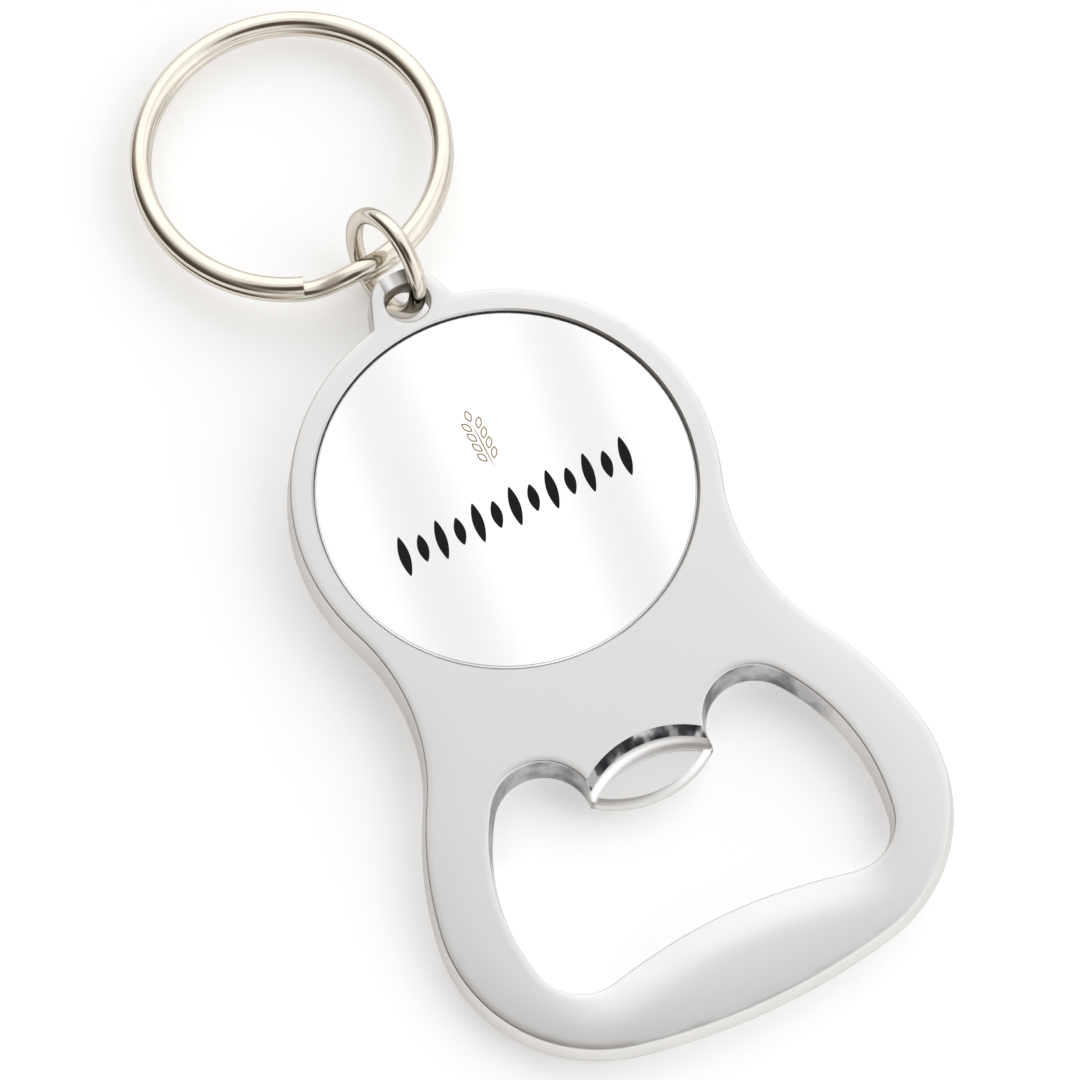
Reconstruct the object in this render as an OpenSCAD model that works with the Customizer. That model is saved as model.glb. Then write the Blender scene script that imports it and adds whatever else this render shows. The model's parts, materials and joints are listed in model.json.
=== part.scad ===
// Keychain bottle opener.
//
// A cast body carries a crown-cap mouth, a round badge in a shallow seat, and a lug.
// A plain wire link hangs in the lug, and a two-turn split ring hangs in the link.
//
// The body lies on its flat back. The origin is on that back, under the badge's centre.
// +Y runs towards the rings, +Z leaves the front face, and X runs across the body.

/* [Badge] */
// Diameter of the badge disc
badge_d = 29; // [24:0.5:36]
// Thickness of the badge disc
badge_t = 0.8; // [0.5:0.1:1.2]
// Width of the bevel round the badge's front edge
badge_bevel = 0.15; // [0.05:0.05:0.3]
// Thickness of the adhesive pad behind the badge
pad_t = 0.3; // [0.1:0.05:0.6]
// How far the adhesive pad stays inside the badge's edge
pad_inset = 0.75; // [0.25:0.25:2]
// Radial gap between the badge and the wall of its seat
seat_gap = 0.1; // [0.05:0.05:0.3]
// How far the badge's face lies below the crest of the body
badge_sunk = 0.3; // [0.1:0.05:0.6]

/* [Body] */
// Thickness of the body, from its flat back to the crest of its front
body_t = 3.5; // [3:0.1:5]
// How far the crowned front falls from the crest to the bottom edge
crown_drop = 1.2; // [0.4:0.1:1.4]
// Width of the rim round the badge's seat
rim_w = 2.05; // [1.6:0.05:4]
// Width of the web between the badge's seat and the mouth
web_w = 6; // [4.5:0.5:9]
// Width of the two limbs beside the mouth
limb_w = 5.25; // [4.25:0.25:7.25]
// Width of the bar below the mouth, on the centre line
bar_w = 7.85; // [6.25:0.2:11.25]
// Radius of the hollow waist below the head
waist_r = 16.65; // [13.5:0.05:21]
// Radius of the long flank below the waist
flank_r = 29.85; // [24:0.05:36]
// Angle at which the flank turns into the lower corner
flank_angle = 9.8; // [7:0.1:13]
// Radius of the two lower corners
corner_r = 12.55; // [10:0.05:15]
// Radius of the bottom edge
bottom_r = 50.95; // [42:0.05:61]

/* [Mouth] */
// Width of the mouth at its widest
mouth_w = 30.4; // [29:0.2:37]
// Height of the mouth, from the top of its lobes to the crown of the bar
mouth_h = 16.8; // [15.5:0.1:21]
// Radius of the two lobes beside the lip
lobe_r = 4; // [3.4:0.1:4.8]
// Radius of the mouth's long sides
side_r = 17.1; // [16.5:0.1:20.5]
// Radius of the mouth's lower corners
mouth_corner_r = 4; // [3.4:0.1:4.8]
// Radius of the bar's crowned inner edge
bar_r = 39; // [33:0.5:47]

/* [Lip] */
// Width of the lip that grips a crown cap
lip_w = 9.7; // [8.2:0.1:11.6]
// How far the lip reaches into the mouth, from the top of the lobes
lip_l = 5.9; // [5.2:0.1:7]
// Radius of the lip's front edge
lip_r = 8; // [6.8:0.1:9.6]
// Thickness of the lip
lip_t = 1.5; // [1.2:0.1:2]
// Radius of the curved step behind the lip
step_r = 8.2; // [7:0.1:9.8]
// How far the step stands back from the lip's front edge, on the centre line
step_back = 4.4; // [3.7:0.1:5.2]

/* [Lug] */
// Wall between the lug's hole and its round end
lug_wall = 1.35; // [1.1:0.05:1.7]
// Wall between the lug's hole and the badge's seat
lug_hole_wall = 0.75; // [0.6:0.05:1.2]
// Width of the lug where it grows out of the head
lug_foot_w = 7.2; // [6.6:0.1:8.6]
// Room for the link's wire in the lug's hole
lug_hole_room = 2.2; // [2:0.1:2.5]
// Width of the countersink round the lug's hole, in the front and in the back
lug_sink = 0.4; // [0.2:0.05:0.5]
// Room for the link's wire in the saddle across the lug's bar
saddle_room = 1.3; // [0.9:0.1:1.7]
// Depth of the saddle, in the front and in the back
saddle_h = 0.8; // [0.4:0.1:1]
// Room beside the leaning link's wire in the back saddle
saddle_side = 0.15; // [0.1:0.05:0.3]

/* [Link] */
// Inner radius of the link
link_inner_r = 3.35; // [3.25:0.05:4]
// Diameter of the link's wire
link_wire_d = 1.3; // [1:0.05:1.5]
// Width of the butt joint between the wire's two ends
link_cut = 0.15; // [0.05:0.05:0.3]
// Place of the butt joint round the link
link_cut_angle = 200; // [0:5:355]
// Lean of the link away from flat, about the body's long axis
link_lean = 74.5; // [70:0.5:80]
// Turn of the link across the body
link_turn = 8.8; // [5:0.1:12]
// How far the link's middle lies beyond the middle of the lug's bar
link_ahead = 1.4; // [1.2:0.1:1.6]
// How far the link's middle lies above the middle of the body's thickness
link_rise = 0.75; // [0.6:0.05:0.9]

/* [Split ring] */
// Outer diameter of the split ring
ring_d = 25; // [22:0.5:30]
// Width of the ring's wire, along the radius
ring_wire_w = 1.6; // [1.2:0.1:1.9]
// Thickness of one turn of the ring
ring_wire_t = 0.85; // [0.7:0.05:1]
// Edge radius of the ring's wire
ring_wire_r = 0.3; // [0.1:0.05:0.33]
// Gap between the ring's two turns
turn_gap = 0.06; // [0.04:0.01:0.1]
// Angle that the wire takes to cross from one turn to the other
cross_angle = 22; // [16:1:28]
// Place of the outer turn's cut end, from +X
cut_angle = -110.7; // [-125:0.1:-100]
// Tilt of the split ring down from the link to its far side
ring_tilt = 6; // [2:0.5:8]
// How far the ring's near wire lies beyond the link's middle
ring_ahead = 0.6; // [0.4:0.1:0.8]
// How far the ring's near wire lies to the left of the link's middle
ring_aside = 2.2; // [1.8:0.1:2.4]
// How far the ring's near wire lies below the link's middle
ring_below = 1; // [0.8:0.1:1.2]

/* [Hidden] */

CAST = [0.80, 0.80, 0.81];
POLISHED = [0.90, 0.90, 0.91];
FOAM = [0.25, 0.25, 0.27];
NICKEL = [0.72, 0.68, 0.60];

ARC_STEP = 3;        // degrees between the points of an outline's arc
CUT = 1;             // how far a cutter runs past the face it opens
ROUND = 96;          // facets of a preview circle
WIRE_ROUND = 32;     // facets of the link's wire
CROSS_STEPS = 6;     // straight stretches in the crossing wire
CROSS_LAP = 0.5;     // degrees that the crossing wire runs into each turn
CROSS_INSET = 0.03;  // how much slimmer the crossing wire is than the turns
SLICE = 0.02;        // thickness of one slice of the crossing wire

// Badge seat and head
badge_r = badge_d / 2;
seat_r = badge_r + seat_gap;
seat_floor = body_t - badge_sunk - badge_t - pad_t;
head_r = seat_r + rim_w;

// The body's overall reach below the badge's centre, and its half width
mouth_top = -(seat_r + web_w);
mouth_bottom = mouth_top - mouth_h;
reach = -mouth_bottom + bar_w;
half_w = mouth_w / 2 + limb_w;
crown_r = reach * reach / (2 * crown_drop);

// Link
link_wire_r = link_wire_d / 2;
link_r = link_inner_r + link_wire_r;

// Lug
lug_hole_d = link_wire_d + lug_hole_room;
lug_r = lug_hole_d / 2 + lug_wall;
lug_y = seat_r + lug_hole_wall + lug_hole_d / 2;
saddle_w = link_wire_d + saddle_room;
saddle_back_w = 2 * (link_r * cos(link_lean) + link_wire_r + saddle_side);
lug_foot = [lug_foot_w / 2, sqrt(head_r * head_r - lug_foot_w * lug_foot_w / 4)];
lug_bar_y = lug_y + (lug_r + lug_hole_d / 2) / 2;

// The point where two circles meet, on the right of the line from a to b
function meet(a, ra, b, rb) =
    let(v = b - a, d = norm(v), u = v / d)
    let(s = (d * d + ra * ra - rb * rb) / (2 * d), h = sqrt(ra * ra - s * s))
    a + s * u + h * [u.y, -u.x];
function heading(from, to) = atan2(to.y - from.y, to.x - from.x);
function on_circle(c, r, angle) = c + r * [cos(angle), sin(angle)];
// The points of an arc, both ends included, in steps of about ARC_STEP
function arc(c, r, from, to) =
    let(n = max(2, ceil(abs(to - from) / ARC_STEP)))
    [for (i = [0:n]) on_circle(c, r, from + (to - from) * i / n)];
// A half outline and its mirror image, as one closed loop
function both_sides(half) =
    concat(half, [for (i = [len(half) - 1:-1:0]) [-half[i].x, half[i].y]]);

// Body outline, right half: bottom edge, lower corner, flank, waist, head, lug
bottom_c = [0, bottom_r - reach];
corner_x = half_w - corner_r;
corner_gap = bottom_r - corner_r;
corner_c = [corner_x, bottom_c.y - sqrt(corner_gap * corner_gap - corner_x * corner_x)];
flank_c = on_circle(corner_c, flank_r - corner_r, flank_angle + 180);
waist_c = meet(flank_c, flank_r + waist_r, [0, 0], head_r + waist_r);
corner_from = heading(bottom_c, corner_c);
flank_to = heading(flank_c, waist_c);
head_from = heading([0, 0], waist_c);
head_to = heading([0, 0], lug_foot);
lug_from = heading(lug_foot, [0, lug_y])
    - asin(lug_r / norm([0, lug_y] - lug_foot)) - 90;

function body_outline() = both_sides(concat(
    arc(bottom_c, bottom_r, -90, corner_from),
    arc(corner_c, corner_r, corner_from, flank_angle),
    arc(flank_c, flank_r, flank_angle, flank_to),
    arc(waist_c, waist_r, flank_to + 180, head_from + 180),
    arc([0, 0], head_r, head_from, head_to),
    arc([0, lug_y], lug_r, lug_from, 90)
));

// Mouth outline, right half: lip, lobe, long side, lower corner, bar
lip_c = [0, mouth_top - lip_l + lip_r];
lobe_c = [lip_w / 2 + lobe_r, mouth_top - lobe_r];
side_x = mouth_w / 2 - side_r;
side_gap = side_r - lobe_r;
side_rise = sqrt(side_gap * side_gap - pow(lobe_c.x - side_x, 2));
side_c = [side_x, lobe_c.y - side_rise];
bar_c = [0, mouth_bottom - bar_r];
mouth_corner_c = meet(bar_c, bar_r + mouth_corner_r, side_c, side_r - mouth_corner_r);
lip_corner = meet(lip_c, lip_r, lobe_c, lobe_r);
lobe_to = heading(side_c, lobe_c);
side_to = heading(side_c, mouth_corner_c);
mouth_corner_to = heading(mouth_corner_c, bar_c);
step_c = [0, mouth_top - lip_l + step_back - step_r];

function mouth_outline() = both_sides(concat(
    arc(lip_c, lip_r, -90, heading(lip_c, lip_corner)),
    arc(lobe_c, lobe_r, heading(lobe_c, lip_corner) + 360, lobe_to),
    arc(side_c, side_r, lobe_to, side_to),
    arc(mouth_corner_c, mouth_corner_r, side_to, mouth_corner_to),
    arc(bar_c, bar_r, mouth_corner_to + 180, 90)
));

// Height of the crowned front at a distance from the badge's centre
function crown_z(r) = body_t - r * r / (2 * crown_r);

// Where the link and the split ring lie when the opener is laid down
link_c = [0, lug_bar_y + link_ahead, body_t / 2 + link_rise];
ring_mean_r = ring_d / 2 - ring_wire_w / 2;
turn_lift = (ring_wire_t + turn_gap) / 2;
ring_near = link_c + [-ring_aside, ring_ahead, -ring_below];

// The casting: an outline under a crowned front, with its mouth, seat, lug hole and lip
module opener_body() {
    color(CAST)
    difference() {
        intersection() {
            linear_extrude(body_t) polygon(body_outline());
            crowned_blank();
        }
        translate([0, 0, seat_floor]) cylinder(r = seat_r, h = body_t, $fn = ROUND);
        translate([0, 0, -CUT]) linear_extrude(body_t + 2 * CUT) polygon(mouth_outline());
        lug_hole();
        lip_step();
        lug_saddles();
    }
}

// A lens with the body's flat back and its gently domed front
module crowned_blank() {
    rotate_extrude($fn = 2 * ROUND)
    intersection() {
        translate([0, body_t - crown_r]) circle(r = crown_r, $fn = 20 * ROUND);
        square([reach + lug_y, body_t]);
    }
}

// What is cut away above the lip, back to the curved step
module lip_step() {
    lip_front = mouth_top - lip_l;
    intersection() {
        translate([step_c.x, step_c.y, lip_t]) cylinder(r = step_r, h = body_t, $fn = ROUND);
        translate([-lip_w, lip_front - CUT, 0]) cube([2 * lip_w, lip_l, 2 * body_t]);
    }
}

// The lug's hole, countersunk where the front and the back meet it
module lug_hole() {
    front = crown_z(lug_y);
    wide = lug_hole_d / 2 + lug_sink;
    translate([0, lug_y, 0]) {
        translate([0, 0, -CUT]) cylinder(d = lug_hole_d, h = body_t + 2 * CUT, $fn = ROUND);
        translate([0, 0, front - lug_sink])
            cylinder(r1 = lug_hole_d / 2, r2 = wide + CUT, h = lug_sink + CUT, $fn = ROUND);
        translate([0, 0, -CUT])
            cylinder(r1 = wide + CUT, r2 = lug_hole_d / 2, h = lug_sink + CUT, $fn = ROUND);
    }
}

// A saddle of some width across the lug's bar, upwards from a height
module lug_saddle(width, z) {
    translate([-width / 2, lug_y, z]) cube([width, 2 * lug_r, CUT + saddle_h]);
}

// The two saddles that thin the lug's bar. The back one is as wide as the leaning link.
module lug_saddles() {
    lug_saddle(saddle_back_w, -CUT);
    lug_saddle(saddle_w, crown_z(lug_bar_y) - saddle_h);
}

// The polished disc that shows in the seat
module badge_disc() {
    color(POLISHED)
    translate([0, 0, seat_floor + pad_t]) {
        cylinder(r = badge_r, h = badge_t - badge_bevel, $fn = ROUND);
        translate([0, 0, badge_t - badge_bevel])
            cylinder(r1 = badge_r, r2 = badge_r - badge_bevel, h = badge_bevel, $fn = ROUND);
    }
}

// The double-sided pad that holds the disc down
module adhesive_pad() {
    color(FOAM)
    translate([0, 0, seat_floor]) cylinder(r = badge_r - pad_inset, h = pad_t, $fn = ROUND);
}

// One turn of round wire with a butt joint, through the lug's hole
module link() {
    cut = link_cut / link_r * 180 / PI;
    color(NICKEL)
    translate(link_c) rotate([0, -link_lean, 0]) rotate([link_turn, 0, 0])
        rotate(link_cut_angle)
        rotate_extrude(angle = 360 - cut, $fn = ROUND)
            translate([link_r, 0]) circle(r = link_wire_r, $fn = WIRE_ROUND);
}

// The wire of the split ring in section, with rounded edges, and made smaller by inset
function wire_section(inset = 0) = let(
        x = ring_wire_w / 2 - ring_wire_r,
        y = ring_wire_t / 2 - ring_wire_r)
    [for (k = [0:3]) for (a = [0:30:90])
        on_circle([(k == 0 || k == 3 ? x : -x), (k < 2 ? y : -y)], ring_wire_r - inset, 90 * k + a)];

// One turn of the split ring, all but the stretch where the wire crosses over
module ring_turn() {
    rotate(cut_angle + cross_angle)
        rotate_extrude(angle = 360 - cross_angle, $fn = ROUND)
            translate([ring_mean_r, 0]) polygon(wire_section());
}

// A thin slice of the ring's wire where it crosses over, at a share of the way down.
// The first and last slices lie just inside the turns that they join.
module cross_slice(share) {
    rise = turn_lift * cos(180 * share);
    angle = cut_angle + cross_angle / 2 + (cross_angle + 2 * CROSS_LAP) * (0.5 - share);
    rotate(angle) translate([ring_mean_r, 0, rise])
        rotate([90, 0, 0]) linear_extrude(SLICE) polygon(wire_section(CROSS_INSET));
}

// Two turns of flat wire, one on the other, joined where the wire crosses over
module split_ring() {
    color(NICKEL)
    translate(ring_near) rotate([-ring_tilt, 0, 0]) translate([0, ring_mean_r, 0]) {
        for (z = [turn_lift, -turn_lift]) translate([0, 0, z]) ring_turn();
        for (i = [0:CROSS_STEPS - 1]) hull() {
            cross_slice(i / CROSS_STEPS);
            cross_slice((i + 1) / CROSS_STEPS);
        }
    }
}

opener_body();
badge_disc();
adhesive_pad();
link();
split_ring();
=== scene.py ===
# %% [markdown]
# # A keychain bottle opener
# The opener is one casting with a crown-cap mouth, a badge in a seat, and a lug that carries a link and
# a ring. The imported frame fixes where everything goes, so each piece here is built around it, in metres.

# %% Load the frame
import json
import math
import bmesh
import bpy
import numpy as np
from mathutils import Matrix, Vector


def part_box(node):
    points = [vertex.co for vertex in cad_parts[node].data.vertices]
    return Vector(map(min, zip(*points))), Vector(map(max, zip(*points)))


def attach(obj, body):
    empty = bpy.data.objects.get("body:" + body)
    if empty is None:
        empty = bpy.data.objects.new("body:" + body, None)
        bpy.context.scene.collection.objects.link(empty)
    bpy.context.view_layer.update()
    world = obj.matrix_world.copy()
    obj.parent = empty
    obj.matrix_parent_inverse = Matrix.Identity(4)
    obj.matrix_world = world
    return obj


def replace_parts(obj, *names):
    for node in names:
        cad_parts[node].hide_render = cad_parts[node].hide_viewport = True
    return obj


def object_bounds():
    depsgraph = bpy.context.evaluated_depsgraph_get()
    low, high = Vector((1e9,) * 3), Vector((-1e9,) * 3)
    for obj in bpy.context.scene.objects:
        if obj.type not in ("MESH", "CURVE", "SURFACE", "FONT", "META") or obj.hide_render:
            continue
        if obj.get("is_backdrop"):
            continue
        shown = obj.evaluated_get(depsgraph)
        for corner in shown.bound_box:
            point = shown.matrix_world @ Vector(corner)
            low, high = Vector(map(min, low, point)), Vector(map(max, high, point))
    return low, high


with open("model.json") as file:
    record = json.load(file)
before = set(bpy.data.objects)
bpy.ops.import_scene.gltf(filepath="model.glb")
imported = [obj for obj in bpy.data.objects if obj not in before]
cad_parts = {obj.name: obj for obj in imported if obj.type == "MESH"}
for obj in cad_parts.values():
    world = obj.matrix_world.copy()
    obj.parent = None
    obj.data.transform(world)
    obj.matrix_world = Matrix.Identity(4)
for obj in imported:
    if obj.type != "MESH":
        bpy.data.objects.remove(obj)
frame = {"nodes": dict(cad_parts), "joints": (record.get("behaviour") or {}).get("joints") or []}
cad_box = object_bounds()
MM = 0.001
joint_at = {j["name"]: Vector(j["pos_m"]) for j in frame["joints"]}
print("CAD box in mm", [round(c / MM, 2) for corner in cad_box for c in corner])

# %% [markdown]
# ## Camera
# The opener lies on its back and is seen from high above its lower end, turned a little to the left.
# A long lens from far away keeps its sides nearly parallel. The camera is made first, as the light needs
# to know where the viewer stands.

# %% Camera
CAMERA_LENS, SENSOR_W = 318.0, 36.0
CLIP_NEAR, CLIP_FAR = 0.05, 20.0
CAMERA_TILT = 21.09
CAMERA_TURN = -26.15
CAMERA_DISTANCE = 0.7215
CAMERA_AIM = Vector((0.47, -4.90, 3.2)) * MM

camera_data = bpy.data.cameras.new("camera")
camera = bpy.data.objects.new("camera", camera_data)
bpy.context.scene.collection.objects.link(camera)
camera_data.lens = CAMERA_LENS
camera_data.sensor_width = SENSOR_W
camera_data.clip_start = CLIP_NEAR
camera_data.clip_end = CLIP_FAR
camera.rotation_euler = (math.radians(CAMERA_TILT), 0, math.radians(CAMERA_TURN))
camera.location = CAMERA_AIM + camera.rotation_euler.to_matrix() @ Vector((0, 0, CAMERA_DISTANCE))
bpy.context.scene.camera = camera
print("camera at", [round(c, 4) for c in camera.location])

# %% [markdown]
# ## Drawing tools
# An outline is drawn as with a compass: one vertex is swung round each arc's centre in turn.
# Blender's spin runs clockwise for a positive angle about +Z here, so the helper turns the sign round.

# %% Drawing tools
ARC_STEP, SMALL_ARC_STEP = 2.0, 6.0
WELD_GAP = 0.002


def deselect():
    if bpy.context.object and bpy.context.object.mode != "OBJECT":
        bpy.ops.object.mode_set(mode="OBJECT")
    bpy.ops.object.select_all(action="DESELECT")


def start_point(name, x, y, z):
    """A new object in edit mode that is a single selected vertex."""
    deselect()
    bpy.ops.mesh.primitive_plane_add(size=MM)
    piece = bpy.context.object
    piece.name = name
    bpy.ops.object.mode_set(mode="EDIT")
    bpy.ops.mesh.select_mode(type="VERT")
    bpy.ops.mesh.select_all(action="SELECT")
    bpy.ops.mesh.merge(type="CENTER")
    bpy.ops.transform.translate(value=(x * MM, y * MM, z * MM))
    return piece


def swing(centre, degrees, step=ARC_STEP):
    """Swings what is selected round a centre, anticlockwise seen from above."""
    steps = max(2, math.ceil(abs(degrees) / step))
    bpy.ops.mesh.spin(steps=steps, angle=-math.radians(degrees), axis=(0, 0, 1),
                      center=(centre[0] * MM, centre[1] * MM, 0))


def line_by(x, y, z=0.0):
    bpy.ops.mesh.extrude_vertices_move(TRANSFORM_OT_translate={"value": (x * MM, y * MM, z * MM)})


def weld():
    bpy.ops.mesh.select_all(action="SELECT")
    bpy.ops.mesh.remove_doubles(threshold=WELD_GAP * MM)


print("long arcs are drawn in steps of", ARC_STEP, "degrees")

# %% [markdown]
# Work on part of a mesh starts by choosing its faces. The test is given each face's centre, in millimetres,
# and the way the face looks. A modifier is added with its settings and applied at once.

# %% Choosing faces and applying modifiers
def choose_faces(piece, test):
    """Selects only the faces whose centre and normal pass a test, and counts them."""
    bpy.ops.mesh.select_mode(type="FACE")
    bpy.ops.mesh.select_all(action="DESELECT")
    mesh = bmesh.from_edit_mesh(piece.data)
    count = 0
    for face in mesh.faces:
        if test(face.calc_center_median() / MM, face.normal):
            face.select_set(True)
            count += 1
    bmesh.update_edit_mesh(piece.data)
    return count


def apply_modifier(piece, kind, name, **settings):
    deselect()
    piece.select_set(True)
    bpy.context.view_layer.objects.active = piece
    modifier = piece.modifiers.new(name, kind)
    for key, value in settings.items():
        setattr(modifier, key, value)
    bpy.ops.object.modifier_apply(modifier=modifier.name)


# %% [markdown]
# A lathe turns a drawn profile into a round solid. Such a solid can then be used as a cutter: a boolean
# takes its shape out of the piece, and the cutter is thrown away.

# %% Lathe and cut
def lathe(name, profile, centre, degrees=360.0, start=0.0, steps=96):
    """A closed solid: a profile of (radius, height) points turned about an upright axis."""
    turn = math.radians(start)
    spots = [(centre[0] + r * math.cos(turn), centre[1] + r * math.sin(turn), z) for r, z in profile]
    piece = start_point(name, *spots[0])
    for before, after in zip(spots, spots[1:] + spots[:1]):
        line_by(*[b - a for a, b in zip(before, after)])
    weld()
    swing(centre, degrees, step=degrees / steps)
    weld()
    bpy.ops.mesh.delete_loose(use_verts=True, use_edges=True, use_faces=False)
    bpy.ops.mesh.select_all(action="SELECT")
    if degrees < 360:
        bpy.ops.mesh.fill_holes(sides=0)
        bpy.ops.mesh.select_all(action="SELECT")
    bpy.ops.mesh.normals_make_consistent(inside=False)
    bpy.ops.object.mode_set(mode="OBJECT")
    return piece


def cut(piece, cutter):
    apply_modifier(piece, "BOOLEAN", "cut", operation="DIFFERENCE", solver="MANIFOLD", object=cutter)
    bpy.data.objects.remove(cutter, do_unlink=True)


# %% [markdown]
# ## The body's outline
# The sizes are those of the casting at its widest, in millimetres, with the same arcs as its design:
# a bottom edge, a lower corner, a flank, a hollow waist, the round head and the lug, and then the mouth.
# Only the right half is drawn, because the opener is symmetric and a mirror makes the other half exactly.

# %% Body sizes
SEAT_R, RIM_W, WEB_W, LIMB_W, BAR_W = 14.6, 2.05, 6.0, 5.25, 7.85
WAIST_R, FLANK_R, FLANK_ANGLE, CORNER_R, BOTTOM_R = 16.65, 29.85, 9.8, 12.55, 50.95
MOUTH_W, MOUTH_H, LOBE_R, SIDE_R, MOUTH_CORNER_R, BAR_R = 30.4, 16.8, 4.0, 17.1, 4.0, 39.0
LIP_W, LIP_L, LIP_R, LIP_T, STEP_R, STEP_BACK = 9.7, 5.9, 8.0, 1.5, 8.2, 4.4
LUG_R, LUG_FOOT_W, LUG_HOLE_R, LUG_Y = 3.1, 7.2, 1.75, 17.1
BODY_T, CROWN_DROP, SEAT_FLOOR = 3.5, 1.2, 2.1
HEAD_R = SEAT_R + RIM_W
MOUTH_TOP = -(SEAT_R + WEB_W)
MOUTH_BOTTOM = MOUTH_TOP - MOUTH_H
SHAVE = 0.003
REACH = -MOUTH_BOTTOM + BAR_W - SHAVE
HALF_W = MOUTH_W / 2 + LIMB_W - SHAVE
print("mouth is", MOUTH_W, "mm wide and", MOUTH_H, "mm high")

# %% [markdown]
# Two circles that touch or cross settle where an arc ends. These helpers find the crossing, and which way
# one centre lies from another, so that no arc's end has to be typed in.

# %% Circle helpers
def meet(a, ra, b, rb):
    """Where two circles meet, on the right of the line from a to b."""
    away = b - a
    along = (away.length_squared + ra * ra - rb * rb) / (2 * away.length)
    side = math.sqrt(ra * ra - along * along)
    u = away.normalized()
    return a + along * u + side * Vector((u.y, -u.x))


def heading(a, b):
    return math.degrees(math.atan2(b.y - a.y, b.x - a.x))


def on_circle(centre, r, degrees):
    return centre + r * Vector((math.cos(math.radians(degrees)), math.sin(math.radians(degrees))))


# %% [markdown]
# ## The arcs' centres
# Each arc runs smoothly into the next, so its centre follows from its neighbours' centres and radii.
# The outer edge comes first, from the bottom up to the lug, and then the mouth.

# %% The arcs' centres
middle = Vector((0, 0))
bottom_c = Vector((0, BOTTOM_R - REACH))
corner_x = HALF_W - CORNER_R
corner_c = Vector((corner_x, bottom_c.y - math.sqrt((BOTTOM_R - CORNER_R) ** 2 - corner_x ** 2)))
flank_c = on_circle(corner_c, FLANK_R - CORNER_R, FLANK_ANGLE + 180)
waist_c = meet(flank_c, FLANK_R + WAIST_R, middle, HEAD_R + WAIST_R)
lug_c = Vector((0, LUG_Y))
lug_foot = Vector((LUG_FOOT_W / 2, math.sqrt(HEAD_R ** 2 - LUG_FOOT_W ** 2 / 4)))
corner_from, flank_to = heading(bottom_c, corner_c), heading(flank_c, waist_c)
head_from, head_to = heading(middle, waist_c), heading(middle, lug_foot)
lug_from = heading(lug_foot, lug_c) - math.degrees(math.asin(LUG_R / (lug_c - lug_foot).length)) - 90

lip_c = Vector((0, MOUTH_TOP - LIP_L + LIP_R))
lobe_c = Vector((LIP_W / 2 + LOBE_R, MOUTH_TOP - LOBE_R))
side_x = MOUTH_W / 2 - SIDE_R
side_c = Vector((side_x, lobe_c.y - math.sqrt((SIDE_R - LOBE_R) ** 2 - (lobe_c.x - side_x) ** 2)))
bar_c = Vector((0, MOUTH_BOTTOM - BAR_R))
mouth_corner_c = meet(bar_c, BAR_R + MOUTH_CORNER_R, side_c, SIDE_R - MOUTH_CORNER_R)
lobe_to, side_to = heading(side_c, lobe_c), heading(side_c, mouth_corner_c)
mouth_corner_to = heading(mouth_corner_c, bar_c)
step_c = Vector((0, MOUTH_TOP - LIP_L + STEP_BACK - STEP_R))
print("body is", round(2 * HALF_W, 2), "mm wide and reaches", round(REACH, 2), "mm below the badge")

# %% [markdown]
# ## The half body
# One vertex is swung round every arc in turn, and the closed outline becomes one flat face. The mouth is
# drawn a little small, as its walls lean out.

# %% Draw the half outline
LAND_LOW, LAND_HIGH = 0.35, 0.6
MOUTH_LEAN = 0.28

body = start_point("opener_casting", 0, -REACH, LAND_LOW)
swing(bottom_c, corner_from + 90)
swing(corner_c, FLANK_ANGLE - corner_from)
swing(flank_c, flank_to - FLANK_ANGLE)
swing(waist_c, head_from - flank_to)
swing(middle, head_to - head_from)
lug_start = on_circle(lug_c, LUG_R, lug_from)
line_by(*(lug_start - lug_foot))
swing(lug_c, 90 - lug_from, step=SMALL_ARC_STEP)
line_by(0, MOUTH_TOP - LIP_L - MOUTH_LEAN - (LUG_Y + LUG_R))
lip_corner = meet(lip_c, LIP_R + MOUTH_LEAN, lobe_c, LOBE_R - MOUTH_LEAN)
swing(lip_c, heading(lip_c, lip_corner) + 90)
swing(lobe_c, lobe_to - heading(lobe_c, lip_corner) - 360, step=SMALL_ARC_STEP)
swing(side_c, side_to - lobe_to)
swing(mouth_corner_c, mouth_corner_to - side_to, step=SMALL_ARC_STEP)
swing(bar_c, 90 - mouth_corner_to - 180)
line_by(0, -REACH - MOUTH_BOTTOM - MOUTH_LEAN)
weld()
bpy.ops.mesh.edge_face_add()
outline_points = np.array([v.co[:2] for v in bmesh.from_edit_mesh(body.data).faces[0].verts]) / MM
print("half outline has", len(outline_points), "points")

# %% [markdown]
# Extruding the face makes the land, which is the body at its widest. The wall on the centre line is
# deleted, so that later insets run along that line and don't pull away from it.

# %% Raise the land
CENTRE_GAP = 1e-4
SQUARE_ON = 0.99
bpy.ops.mesh.extrude_region_move(TRANSFORM_OT_translate={"value": (0, 0, (LAND_HIGH - LAND_LOW) * MM)})
bpy.ops.mesh.select_all(action="SELECT")
bpy.ops.mesh.normals_make_consistent(inside=False)
opened = choose_faces(body, lambda c, n: abs(c.x) < CENTRE_GAP and abs(n.x) > SQUARE_ON)
bpy.ops.mesh.delete(type="FACE")
print("opened", opened, "faces on the centre line")

# %% [markdown]
# Insets with a depth build the rest as a pattern maker would: a wall that leans in towards the front, a
# small round at its edge, and a softer round at the back. Inside the front's round a narrow strip rises by
# a hair. It keeps the later cuts through the front away from the round.

# %% Walls and rounds
WALL_DRAFT = 0.25
EDGE_ROUND, BACK_ROUND, ROUND_STEPS = 0.16, 0.3, 3
STRIP_W, STRIP_RISE = 0.45, 0.003
FLAT_ON = 0.9


def inset(thickness, depth):
    bpy.ops.mesh.inset(thickness=thickness * MM, depth=depth * MM, use_boundary=False,
                       use_even_offset=True)


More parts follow.
